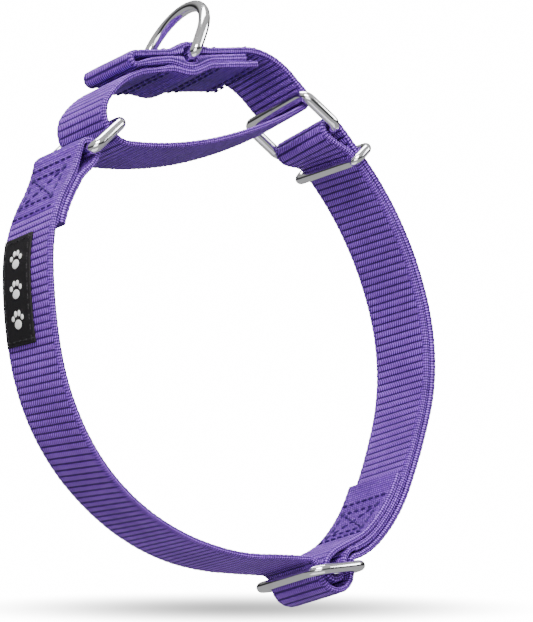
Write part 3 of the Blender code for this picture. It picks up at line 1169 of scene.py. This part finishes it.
def finish_piece(piece: bpy.types.Object, body: Body, slot: Slot, *nodes: str) -> None:
    """Hands a finished piece over to the frame.

    Args:
        piece: the plain mesh object.
        body: what it moves with.
        slot: not used.
        nodes: the frame's nodes that it stands for.
    """
    if nodes:
        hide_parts(*nodes)
    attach(piece, body.value)
    LOG.info("%s on %s: %d faces", piece.name, body.value, len(piece.data.polygons))


# ------------------------------------------------------------------------------- sub-assemblies

@dataclass
class Loom:
    """Weaves lengths of webbing with raised ribs."""

    web: WebSize
    relief: Relief
    finish: WebbingFinish
    rib_height: float = 0.3
    edge_height: float = 0.1

    def weave(self, name: str, sections: Sequence[Section],
              looks: Sequence[Look]) -> bpy.types.Object:
        """Weaves a length of webbing.

        Args:
            name: the piece's name.
            sections: where it runs.
            looks: how it looks there.

        Returns:
            Its plain mesh object.
        """
        web = self.web
        profile = flat_profile(web.width - web.width_trim, web.thick - web.thick_trim, web.columns,
                               web.soft_edge)
        mesh = strip_mesh(name, sections, profile, looks)
        blank = shown(bpy.data.objects.new(name + "_blank", mesh))
        add_nodes(blank, self.relief.tree, Rib_Pitch=self.finish.rib_pitch,
                  Rib_Height=self.rib_height, Selvage=self.finish.selvage,
                  Edge_Height=self.edge_height, Finish=self.finish.make())
        return fixed(blank, name)


@dataclass
class NeckStrap:
    """The neck strap: sewn back at its left ring, doubled on the right, and through the slider."""

    layout: Layout
    loom: Loom

    def build(self) -> None:
        """Makes the strap's webbing."""
        strip = self.layout.neck_strip()
        piece = self.loom.weave("neck_webbing", strip.sections, strip.looks)
        finish_piece(piece, Body.NECK, Slot.WEBBING, "neck_strap")


@dataclass
class ControlLoop:
    """The control loop: one webbing with three plies on top.

    Its crisp stops are distances along and how sharp the ribs are there.
    """

    path: LoopPath
    loom: Loom
    crisp_stops: tuple[tuple[float, float], ...] = (
        (0, 0.2), (42, 0.25), (52, 0.9), (80, 0.9), (92, 0.3), (140, 0.3), (156, 1.0), (188, 1.0),
        (198, 0.45), (228, 0.45), (234, 1.0), (260, 0.5), (300, 0.5))
    outer_fill: float = 0.42
    inner_fill: float = 0.3

    def crisp_at(self, s: float) -> float:
        """Sharpness of the ribs.

        Args:
            s: the distance.

        Returns:
            0 for a smooth weave, up to 1 for sharp ribs.
        """
        stops = self.crisp_stops
        for (s0, c0), (s1, c1) in zip(stops, stops[1:]):
            if s <= s1:
                return c0 + (c1 - c0) * smooth((s - s0) / (s1 - s0))
        return stops[-1][1]

    def look(self, s: float) -> Look:
        """Dresses a section: the sewn plies are padded up to one another.

        Args:
            s: the distance along the loop.

        Returns:
            The look.
        """
        path = self.path
        off = abs(path.chain.at(s)[0] - path.leash_bar[0])
        parted = 0.5 * (path.dip + path.bump) * smooth(1.0 - off / path.bump_reach)
        hugging = (self.inner_fill + parted) * smooth((off - 2.0) / 1.6)
        crisp = self.crisp_at(s)
        if s < path.under_to:
            return crisp, self.outer_fill * smooth((path.under_to - 4.0 - s) / 6.0), 0.0
        if path.top_from < s < path.top_to:
            return crisp, 0.0, hugging * smooth((s - path.top_from - 8.0) / 8.0)
        grown = smooth((s - path.top_to - 7.0) / 5.0)
        return crisp, self.outer_fill * grown, hugging * grown

    def build(self) -> None:
        """Makes the loop's webbing."""
        stations = spaced(0.0, self.path.length, self.loom.web.step)
        piece = self.loom.weave("loop_webbing", [self.path.section(s) for s in stations],
                                [self.look(s) for s in stations])
        finish_piece(piece, Body.LOOP, Slot.WEBBING, "control_loop")


@dataclass
class Hardware:
    """Rings, keeper, slider and leash ring, bent from round wire and plated."""

    layout: Layout
    path: LoopPath
    finish: ChromeFinish
    corner_points: int = 12
    weld: tuple[tuple[float, float], ...] = (  # distance from the weld, and the wire's girth there
        (-0.7, 1.0), (-0.35, 1.03), (-0.12, 1.02), (0.0, 0.94), (0.12, 1.02), (0.35, 1.03), (0.7, 1.0))
    keeper_at: float = 347.0
    leash_lean: float = 32.0

    def frame_points(self, long: float, short: float, corner: float, side: Vector,
                     rise: Vector) -> list[Vector]:
        """Points of a rectangular loop with its first bar through the origin.

        Args:
            long: between wire middles, along the bars.
            short: from bar to bar.
            corner: bend radius of the wire's middle.
            side: direction of the bars.
            rise: direction from the first bar to the second.

        Returns:
            The points, once round.
        """
        points = []
        half = 0.5 * long
        for along, up, first in ((half, 0.0, -90), (half, short, 0), (-half, short, 90),
                                 (-half, 0.0, 180)):
            mid_along = along - math.copysign(corner, along)
            mid_up = up + (corner if up == 0.0 else -corner)
            for i in range(self.corner_points + 1):
                angle = math.radians(first + 90 * i / self.corner_points)
                points.append(side * (mid_along + corner * math.cos(angle))
                              + rise * (mid_up + corner * math.sin(angle)))
        return points

    def bend(self, name: str, points: Sequence[Vector], origin: Vector, thick: float, body: Body,
             nodes: Iterable[str], closed: bool = True, seam_after: int | None = None) -> None:
        """Bends a wire and hands it over.

        Args:
            name: the piece's name.
            points: its middle line, about origin.
            origin: where that line is drawn from.
            thick: the wire's diameter.
            body: what it moves with.
            nodes: the frame's nodes it stands for.
            closed: whether its ends are welded together.
            seam_after: the point after which the weld lies, half way to the next one.
        """
        stops = [(point, 1.0) for point in points]
        if seam_after is not None:
            first = points[seam_after]
            last = points[(seam_after + 1) % len(points)]
            reach = (last - first).length
            stops[seam_after + 1:seam_after + 1] = [
                (first.lerp(last, 0.5 + mm / reach), girth) for mm, girth in self.weld]
        curve = bpy.data.curves.new(name, "CURVE")
        curve.dimensions = "3D"
        curve.bevel_depth = 0.5 * thick * MM
        curve.bevel_resolution = 6
        curve.use_fill_caps = True
        spline = curve.splines.new("POLY")
        spline.points.add(len(stops) - 1)
        for point, (place, size) in zip(spline.points, stops):
            point.co = (*to_world(place + origin), 1.0)
            point.radius = size
        spline.use_cyclic_u = closed
        spline.use_smooth = True
        curve.materials.append(self.finish.make())
        piece = fixed(shown(bpy.data.objects.new(name + "_line", curve)), name)
        bm = bmesh.new()
        bm.from_mesh(piece.data)
        bmesh.ops.remove_doubles(bm, verts=bm.verts, dist=1e-7)
        if bm.calc_volume(signed=True) < 0.0:
            bmesh.ops.reverse_faces(bm, faces=bm.faces)
        bm.to_mesh(piece.data)
        bm.free()
        piece.data.shade_smooth()
        finish_piece(piece, body, Slot.WIRE, *nodes)

    def rings(self) -> None:
        """Bends the two side rings."""
        layout, wire = self.layout, self.layout.wire
        for name, bar, free, side, body in (
                ("left_ring_wire", layout.left_bar, layout.left_free, layout.left_side,
                 Body.LEFT_RING),
                ("right_ring_wire", layout.right_bar, layout.right_free, layout.right_side,
                 Body.RIGHT_RING)):
            points = self.frame_points(wire.ring_long, wire.ring_short, wire.corner, side,
                                       (free - bar).normalized())
            self.bend(name, points, bar, wire.ring, body, [name.replace("_wire", "")],
                      seam_after=2 * self.corner_points + 1)

    def keeper(self) -> None:
        """Bends the keeper round both plies below the right ring."""
        neck, wire, web = self.layout.neck, self.layout.wire, self.layout.web
        reach = 0.5 * web.thick + wire.clearance + 0.5 * wire.keeper
        front, side = neck.section(self.keeper_at, -reach)
        rear = neck.section(self.keeper_at, neck.right_spacing + reach)[0]
        points = self.frame_points(wire.keeper_long, (rear - front).length, wire.keeper_corner, side,
                                   (rear - front).normalized())
        turned = points[-1:] + points[:-1]
        self.bend("keeper_wire", turned, front, wire.keeper, Body.KEEPER, ["keeper_loop"],
                  seam_after=0)

    def slider(self) -> None:
        """Bends the slider's closed frame and sets its middle bar in."""
        layout, wire = self.layout, self.layout.wire
        pitch = layout.slider_right - layout.slider_left
        points = self.frame_points(wire.slider_long, pitch.length, wire.slider_corner,
                                   layout.slider_side, pitch.normalized())
        self.bend("slider_wire", points, layout.slider_left, wire.slider, Body.NECK,
                  ["slider_frame"])
        half = 0.5 * wire.slider_long - 0.5 * wire.slider + 0.4
        self.bend("slider_middle_bar",
                  [layout.slider_side * (half * t) for t in (-1.0, -0.5, 0.0, 0.5, 1.0)],
                  layout.slider_middle, wire.slider, Body.NECK, ["slider_bar"], closed=False)

    def leash_ring(self) -> None:
        """Bends the leash ring, a D standing on its straight bar."""
        wire = self.layout.wire
        bar, side = self.path.flat(*self.path.leash_bar)
        lean = math.radians(90.0 - self.leash_lean)
        rise = side.cross(Vector((1, 0, 0))).normalized() * math.sin(lean)
        rise += Vector((1, 0, 0)) * math.cos(lean)
        half = 0.5 * wire.ring_long
        legs = wire.leash_height - half
        flat = []
        for i in range(11):
            angle = math.radians(-90 + 9 * i)
            flat.append((half - wire.leash_corner + wire.leash_corner * math.cos(angle),
                         wire.leash_corner + wire.leash_corner * math.sin(angle)))
        for i in range(49):
            angle = math.pi * i / 48
            flat.append((half * math.cos(angle), legs + half * math.sin(angle)))
        flat += [(-a, b) for a, b in flat[10::-1]]
        points = [side * a + rise * b for a, b in flat]
        self.bend("leash_ring_wire", points, bar, wire.leash, Body.LEASH, ["leash_ring"])

    def build(self) -> None:
        """Makes every wire part."""
        self.rings()
        self.keeper()
        self.slider()
        self.leash_ring()


@dataclass(frozen=True)
class CrossedBox:
    """A box seam with a cross in it, and a bar before and after it.

    Its first four sizes are distances along, and low and high are its sides' distances across.
    """

    before: float
    first: float
    last: float
    after: float
    low: float
    high: float
    overhang: float = 1.0

    def seams(self) -> list[Seam]:
        """Draws the box, its cross and its bars.

        Returns:
            The seams.
        """
        first, last, low, high = self.first, self.last, self.low, self.high
        box = [[(first, low), (first, high)], [(last, low), (last, high)],
               [(first, low), (last, low)], [(first, high), (last, high)],
               [(first, low), (last, high)], [(first, high), (last, low)]]
        return box + [[(s, low - self.overhang), (s, high + self.overhang)]
                      for s in (self.before, self.after)]


@dataclass
class Stitching:
    """The dark thread that holds the plies together."""

    layout: Layout
    path: LoopPath
    tree: StitchTree
    finish: ThreadFinish
    spacing: float = 2.9
    length: float = 2.5
    thick: float = 0.8
    proud: float = 0.05
    left_box: CrossedBox = CrossedBox(3.0, 6.5, 17.0, 21.0, -9.0, 7.0)
    end_box: CrossedBox = CrossedBox(209.5, 213.0, 224.0, 228.0, -8.5, 8.5)
    loop_seams: tuple[tuple[str, float], ...] = (("left", -35.0), ("middle", -14.5), ("right", 1.5))
    seam_reach: float = 10.5
    seam_half: float = 1.6

    def sew(self, name: str, place: Placer, lines: Sequence[Seam], inward: float, body: Body,
            nodes: Iterable[str], finish: Finish | None = None, thick: float | None = None) -> None:
        """Lays stitches along lines.

        Args:
            name: the piece's name.
            place: gives the point for a distance along, across and inward.
            lines: corners of each line, as distances along and across.
            inward: the surface's distance inward from the webbing's middle line.
            body: what the stitches move with.
            nodes: the frame's nodes they stand for.
            finish: the thread, if it isn't the dark one.
            thick: the thread's diameter, if it isn't the usual one.
        """
        curve = bpy.data.curves.new(name, "CURVE")
        curve.dimensions = "3D"
        for corners in lines:
            for (s0, a0), (s1, a1) in zip(corners, corners[1:]):
                count = max(2, round(math.hypot(s1 - s0, a1 - a0) / 0.8))
                spline = curve.splines.new("POLY")
                spline.points.add(count)
                for i in range(count + 1):
                    t = i / count
                    spot = place(s0 + (s1 - s0) * t, a0 + (a1 - a0) * t, inward)
                    spline.points[i].co = (*to_world(spot), 1.0)
        lines_of = shown(bpy.data.objects.new(name + "_line", curve))
        add_nodes(lines_of, self.tree.tree, Spacing=self.spacing * MM, Length=self.length * MM,
                  Thread=(thick or self.thick) * MM, Finish=(finish or self.finish).make())
        finish_piece(fixed(lines_of, name), body, Slot.THREAD, *nodes)

    def build(self) -> None:
        """Sews the left end, the end at the slider and the control loop."""
        neck, slider = self.layout.neck, self.layout.slider
        face = 0.5 * self.layout.web.thick + self.proud
        self.sew("left_box_stitches", neck.place, self.left_box.seams(), -face, Body.NECK,
                 ["left_box_thread"])
        inner = neck.right_spacing + slider.end_spacing + face
        self.sew("end_box_stitches", neck.place, self.end_box.seams(), inner, Body.NECK,
                 ["tab_box_thread"])
        path = self.path
        for side, x in self.loop_seams:
            above = self.loop_seam(path.at_x(x, path.top_from - 5.0, path.top_to))
            self.sew("loop_stitches_" + side, path.place, above, -face, Body.LOOP,
                     ["loop_thread_" + side])
            below = self.loop_seam(path.at_x(x, 0.0, path.under_to))[:2]
            self.sew(f"loop_stitches_{side}_below", path.place, below, face, Body.LOOP, [])

    def loop_seam(self, s: float) -> list[Seam]:
        """Draws two rows across the loop, and a zigzag between them.

        Args:
            s: the distance along the loop.

        Returns:
            The seams, with the zigzag last.
        """
        first, last, reach = s - self.seam_half, s + self.seam_half, self.seam_reach
        return [[(first, -reach), (first, reach)], [(last, -reach), (last, reach)],
                [(first, -reach), (last, 0.0), (first, reach)]]


@dataclass
class Label:
    """The sewn label, with plain paws on it.

    Each pad of a paw is its place along and across from the paw's middle, and its reach each way.
    """

    layout: Layout
    stitching: Stitching
    finish: LabelFinish
    motif: MotifFinish
    first: float = 28.5
    last: float = 61.0
    far: float = -11.0
    near: float = 3.3
    thick: float = 0.8
    pressed: float = 0.15
    hem: float = 1.3
    paws_at: tuple[float, ...] = (35.5, 44.5, 53.5)
    pads: tuple[tuple[float, float, float, float], ...] = (
        (1.3, 0.0, 1.45, 1.75), (-0.6, -2.3, 0.85, 0.75), (-1.9, -0.85, 0.95, 0.75),
        (-1.9, 0.85, 0.95, 0.75), (-0.6, 2.3, 0.85, 0.75))
    pad_height: float = 0.22

    def __post_init__(self) -> None:
        """Works out where the patch's middle lies, inward and across from the strap's."""
        web = self.layout.web
        self.level = -(0.5 * web.thick + web.gap + 0.5 * self.thick) + self.pressed
        self.middle = 0.5 * (self.far + self.near)

    def patch(self) -> None:
        """Makes the patch."""
        neck = self.layout.neck
        sections = []
        for s in spaced(self.first, self.last, 0.5):
            centre, side = neck.section(s, self.level)
            sections.append((centre + side * self.middle, side))
        profile = flat_profile(self.near - self.far, self.thick, 9, 0.5)
        mesh = strip_mesh("label_woven", sections, profile, [(1.0, 0.0, 0.0)] * len(sections))
        mesh.materials.append(self.finish.make())
        piece = shown(bpy.data.objects.new("label_woven", mesh))
        finish_piece(piece, Body.NECK, Slot.LABEL, "label_patch")

    def paws(self) -> None:
        """Embroiders the paws along the patch."""
        neck = self.layout.neck
        level = self.level - 0.5 * self.thick
        bm = bmesh.new()
        for paw in self.paws_at:
            for forward, aside, length, width in self.pads:
                s, a = paw + forward, self.middle + aside
                centre = neck.place(s, a, level)
                run = neck.place(s + 0.5, a, level) - centre
                side = neck.section(s)[1]
                axes = Matrix((run.normalized() * length, side * width,
                               side.cross(run).normalized() * self.pad_height))
                made = bmesh.ops.create_uvsphere(bm, u_segments=16, v_segments=8, radius=1.0)
                for vert in made["verts"]:
                    vert.co = to_world(centre + axes.transposed() @ vert.co)
        bmesh.ops.recalc_face_normals(bm, faces=bm.faces)
        mesh = meshed(bm, "label_paws")
        mesh.materials.append(self.motif.make())
        finish_piece(shown(bpy.data.objects.new("label_paws", mesh)), Body.NECK, Slot.LABEL)

    def border(self) -> None:
        """Sews the patch on round its edge."""
        low, high = self.first + self.hem, self.last - self.hem
        far, near = self.far + self.hem, self.near - self.hem
        corners = [(low, far), (high, far), (high, near), (low, near), (low, far)]
        self.stitching.sew("label_stitches", self.layout.neck.place, [corners],
                           self.level - 0.5 * self.thick, Body.NECK, ["label_thread"],
                           ThreadFinish(name="black_thread", colour=(0.004, 0.004, 0.005),
                                        shine=(0.05, 0.05, 0.055)), 0.5)

    def build(self) -> None:
        """Makes the label."""
        self.patch()
        self.paws()
        self.border()


@dataclass(frozen=True)
class Lamp:
    """A soft light, wider than it is high: its place and width in metres, its watts and its tint."""

    name: str
    place: tuple[float, float, float]
    size: float
    power: float
    tint: Colour = (1.0, 1.0, 1.0)


@dataclass
class Studio:
    """A white room, soft lights and the camera."""

    azimuth: float = -38.0
    elevation: float = 2.0
    distance: float = 1.75
    lens: float = 333.087
    room_radius: float = 4.0
    floor_gap: float = 0.0012
    sky: Colour = (0.6, 0.6, 0.6)
    band: Colour = (0.02, 0.02, 0.022)
    ground: Colour = (0.5, 0.5, 0.51)
    glow: float = 0.9
    lamps: tuple[Lamp, ...] = (
        Lamp("key_light", (-0.9, -1.1, 1.5), 0.9, 72.0, (1.0, 0.99, 0.97)),
        Lamp("fill_light", (1.3, -0.9, 0.7), 0.8, 16.0, (0.97, 0.98, 1.0)),
        Lamp("front_light", (-1.5, -1.9, 0.35), 1.5, 28.0),
        Lamp("bounce_light", (-0.25, -0.5, -1.0), 1.2, 4.0),
        Lamp("top_light", (0.1, 0.5, 1.6), 1.1, 40.0))

    def camera(self) -> None:
        """Aims the camera at the middle of the collar's drawing plane."""
        data = bpy.data.cameras.new("camera")
        data.lens = self.lens
        data.clip_start = 0.1
        data.clip_end = 50.0
        camera = shown(bpy.data.objects.new("camera", data))
        turn, rise = math.radians(self.azimuth), math.radians(self.elevation)
        back = Vector((math.sin(turn) * math.cos(rise), -math.cos(turn) * math.cos(rise),
                       math.sin(rise)))
        camera.location = DRAWING_ORIGIN + back * self.distance
        camera.rotation_euler = back.to_track_quat("Z", "Y").to_euler()
        bpy.context.scene.camera = camera

    def light(self, lamp: Lamp) -> None:
        """Hangs a lamp and aims it at the collar.

        Args:
            lamp: the lamp.
        """
        data = bpy.data.lights.new(lamp.name, "AREA")
        data.shape = "RECTANGLE"
        data.size = lamp.size
        data.size_y = lamp.size * 0.7
        data.energy = lamp.power
        data.color = lamp.tint
        hung = shown(bpy.data.objects.new(lamp.name, data))
        hung.location = lamp.place
        hung.rotation_euler = Vector(lamp.place).to_track_quat("Z", "Y").to_euler()

    def room(self, lowest: float) -> None:
        """Closes the studio in: a flat floor under a wide dome.

        Args:
            lowest: the floor's height, in metres.
        """
        bm = bmesh.new()
        bmesh.ops.create_uvsphere(bm, u_segments=64, v_segments=48, radius=self.room_radius)
        for vert in bm.verts:
            vert.co.z = max(vert.co.z, lowest)
        bmesh.ops.reverse_faces(bm, faces=bm.faces)
        mesh = meshed(bm, "studio_room", rounded=False)
        mesh.materials.append(PaperFinish().make())
        room = shown(bpy.data.objects.new("studio_room", mesh))
        room.visible_diffuse = False
        room.visible_glossy = False
        room.visible_shadow = False
        room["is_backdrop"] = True

    def world(self) -> None:
        """Lights the room from above and below, with a dark band between for the wire to mirror."""
        world = bpy.data.worlds.new("studio")
        world.use_nodes = True
        bpy.context.scene.world = world
        tree = Tree(world.node_tree)
        place = tree.add("ShaderNodeTexCoord").outputs["Generated"]
        height = tree.value(tree.add("ShaderNodeSeparateXYZ", {}, {"Vector": place}), "Z")
        colour = tree.mix(height.ease(0.12, 0.6), self.band, self.sky)
        colour = tree.mix((0.0 - height).ease(-0.02, 0.18), colour, self.ground)
        tree.feed(world.node_tree.nodes["Background"], Color=colour, Strength=self.glow)

    def build(self, lowest: float) -> None:
        """Sets the studio round the collar.

        Args:
            lowest: height of the collar's lowest point, in metres.
        """
        self.camera()
        self.world()
        self.room(lowest - self.floor_gap)
        for lamp in self.lamps:
            self.light(lamp)


def main() -> None:
    """Builds the collar's looks round the frame."""
    logging.basicConfig(level=logging.INFO, format="%(message)s")
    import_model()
    cad_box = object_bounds()
    layout = Layout(WebSize(), WireSize())
    path = LoopPath(layout)
    loom = Loom(layout.web, Relief(), WebbingFinish())
    NeckStrap(layout, loom).build()
    ControlLoop(path, loom).build()
    Hardware(layout, path, ChromeFinish()).build()
    stitching = Stitching(layout, path, StitchTree(), ThreadFinish())
    stitching.build()
    Label(layout, stitching, LabelFinish(), MotifFinish()).build()
    Studio().build(cad_box[0][2])


if __name__ == "__main__":
    main()
